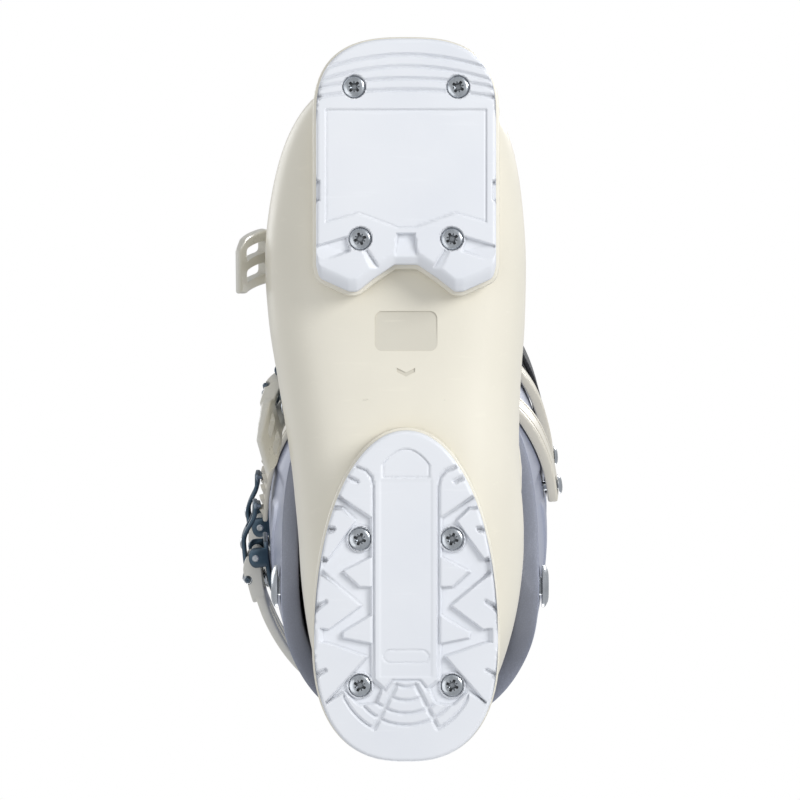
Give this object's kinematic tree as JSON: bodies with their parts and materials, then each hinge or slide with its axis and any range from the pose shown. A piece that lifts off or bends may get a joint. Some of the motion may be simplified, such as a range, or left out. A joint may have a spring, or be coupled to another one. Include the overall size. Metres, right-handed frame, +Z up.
{
  "type": "alpine ski boot",
  "caption": "Right alpine ski boot: rigid lower shell with screwed toe and heel soles, hinged flexing cuff, padded liner, power strap and lever buckles.",
  "frame": {"origin": "on the ground plane under the middle of the sole length and the middle of the width over the buckles", "axes": "+Z up from the soles; the toe points to -Y; -X is the lateral (outer) side and +X the medial side of a right boot"},
  "size_m": [0.1413, 0.285, 0.3121],
  "materials": {
    "sole_plate": "satin",
    "shell_plastic": "satin",
    "cuff_plastic": "satin",
    "lever_paint": "satin",
    "ladder_paint": "satin",
    "dark_steel": "satin",
    "fastener_steel": "polished",
    "liner_fabric": "matte",
    "tongue_fabric": "matte",
    "board_plastic": "matte",
    "strap_webbing": "matte"
  },
  "bodies": {
    "shell": {"toe_sole": "sole_plate", "heel_sole": "sole_plate", "toe_screw_front_lateral": "fastener_steel", "toe_screw_front_medial": "fastener_steel", "toe_screw_rear_lateral": "fastener_steel", "toe_screw_rear_medial": "fastener_steel", "heel_screw_front_lateral": "fastener_steel", "heel_screw_front_medial": "fastener_steel", "heel_screw_rear_lateral": "fastener_steel", "heel_screw_rear_medial": "fastener_steel", "forefoot_buckle_base": "dark_steel", "forefoot_base_rivet": "fastener_steel", "forefoot_lever_pin": "fastener_steel", "forefoot_ladder": "ladder_paint", "forefoot_ladder_rivet": "fastener_steel", "instep_buckle_base": "dark_steel", "instep_base_rivet": "fastener_steel", "instep_lever_pin": "fastener_steel", "instep_ladder": "ladder_paint", "instep_ladder_rivet": "fastener_steel", "lower_shell": "shell_plastic", "pivot_bolt_lateral": "fastener_steel", "pivot_bolt_medial": "fastener_steel", "boot_board": "board_plastic", "liner_foot": "liner_fabric"},
    "cuff": {"lower_cuff_buckle_base": "dark_steel", "lower_cuff_base_rivet": "fastener_steel", "lower_cuff_lever_pin": "fastener_steel", "lower_cuff_ladder": "ladder_paint", "lower_cuff_ladder_rivet": "fastener_steel", "upper_cuff_buckle_base": "dark_steel", "upper_cuff_base_rivet": "fastener_steel", "upper_cuff_lever_pin": "fastener_steel", "upper_cuff_ladder": "ladder_paint", "upper_cuff_ladder_rivet": "fastener_steel", "cuff": "cuff_plastic", "liner_shaft": "liner_fabric", "liner_tongue": "tongue_fabric", "power_strap": "strap_webbing", "strap_rivet_lateral": "fastener_steel", "strap_rivet_medial": "fastener_steel"},
    "forefoot_lever": {"forefoot_lever": "lever_paint"},
    "forefoot_link": {"forefoot_link": "dark_steel"},
    "instep_lever": {"instep_lever": "lever_paint"},
    "instep_link": {"instep_link": "dark_steel"},
    "lower_cuff_lever": {"lower_cuff_lever": "lever_paint"},
    "lower_cuff_link": {"lower_cuff_link": "dark_steel"},
    "upper_cuff_lever": {"upper_cuff_lever": "lever_paint"},
    "upper_cuff_link": {"upper_cuff_link": "dark_steel"}
  },
  "joints": [
    {"name": "cuff_flex", "type": "hinge", "parent": "shell", "child": "cuff", "pos_m": [0, 0.078, 0.1], "axis": [1, 0, 0], "range_deg": [0, 8], "stiffness_Nm_per_rad": 150},
    {"name": "forefoot_lever_hinge", "type": "hinge", "parent": "shell", "child": "forefoot_lever", "pos_m": [-0.03734, -0.06297, 0.08384], "axis": [0, 0.9604, 0.2785], "range_deg": [0, 110]},
    {"name": "forefoot_link_hinge", "type": "hinge", "parent": "forefoot_lever", "child": "forefoot_link", "pos_m": [-0.04832, -0.06316, 0.08448], "axis": [0, 0.9604, 0.2785], "range_deg": [-110, 0]},
    {"name": "instep_lever_hinge", "type": "hinge", "parent": "shell", "child": "instep_lever", "pos_m": [-0.04796, -0.0051, 0.09445], "axis": [0.1961, 0.7845, 0.5883], "range_deg": [0, 110]},
    {"name": "instep_link_hinge", "type": "hinge", "parent": "instep_lever", "child": "instep_link", "pos_m": [-0.05671, 0.00016, 0.09035], "axis": [0.1961, 0.7845, 0.5883], "range_deg": [-110, 0]},
    {"name": "lower_cuff_lever_hinge", "type": "hinge", "parent": "cuff", "child": "lower_cuff_lever", "pos_m": [-0.06532, 0.06715, 0.17242], "axis": [0, -0.158, 0.9874], "range_deg": [0, 110]},
    {"name": "lower_cuff_link_hinge", "type": "hinge", "parent": "lower_cuff_lever", "child": "lower_cuff_link", "pos_m": [-0.0691, 0.07735, 0.17406], "axis": [0, -0.158, 0.9874], "range_deg": [-110, 0]},
    {"name": "upper_cuff_lever_hinge", "type": "hinge", "parent": "cuff", "child": "upper_cuff_lever", "pos_m": [-0.06556, 0.05532, 0.23106], "axis": [0, -0.1961, 0.9806], "range_deg": [0, 110]},
    {"name": "upper_cuff_link_hinge", "type": "hinge", "parent": "upper_cuff_lever", "child": "upper_cuff_link", "pos_m": [-0.06896, 0.06557, 0.23311], "axis": [0, -0.1961, 0.9806], "range_deg": [-110, 0]}
  ],
  "couplings": [
    {"joint": "forefoot_link_hinge", "follows": "forefoot_lever_hinge", "ratio": -1},
    {"joint": "instep_link_hinge", "follows": "instep_lever_hinge", "ratio": -1},
    {"joint": "lower_cuff_link_hinge", "follows": "lower_cuff_lever_hinge", "ratio": -1},
    {"joint": "upper_cuff_link_hinge", "follows": "upper_cuff_lever_hinge", "ratio": -1}
  ]
}
